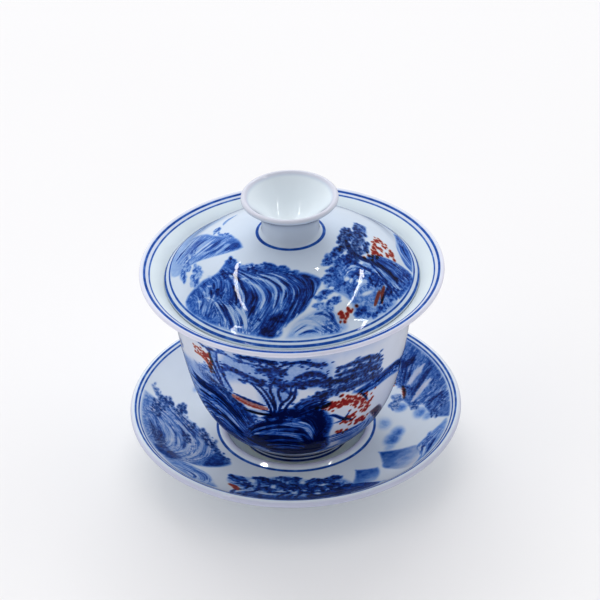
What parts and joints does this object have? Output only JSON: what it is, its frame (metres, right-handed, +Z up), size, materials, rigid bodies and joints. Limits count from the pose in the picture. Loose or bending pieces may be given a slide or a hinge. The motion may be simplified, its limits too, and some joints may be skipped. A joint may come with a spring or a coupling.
{
  "type": "lidded tea bowl",
  "caption": "Lidded porcelain tea bowl: a flared round bowl standing in the well of a dished saucer, with a loose domed lid that has a hollow flared knob.",
  "frame": {"origin": "centre of the saucer's foot ring, on the table", "axes": "+Z up along the common axis of the saucer, bowl and lid; -Y is the side seen in front"},
  "size_m": [0.1116, 0.1116, 0.0997],
  "materials": {
    "saucer_porcelain": "clear glaze over underglaze painting, bare foot ring",
    "bowl_porcelain": "clear glaze over underglaze painting, bare foot ring",
    "lid_porcelain": "clear glaze over underglaze painting"
  },
  "bodies": {
    "saucer": {"saucer": "saucer_porcelain"},
    "bowl": {"bowl": "bowl_porcelain"},
    "lid": {"lid": "lid_porcelain"}
  },
  "joints": [
    {"name": "bowl_lift", "type": "slide", "parent": "saucer", "child": "bowl", "axis": [0, 0, 1], "range_m": [0, 0.03]},
    {"name": "lid_lift", "type": "slide", "parent": "bowl", "child": "lid", "axis": [0, 0, 1], "range_m": [0, 0.03]}
  ]
}
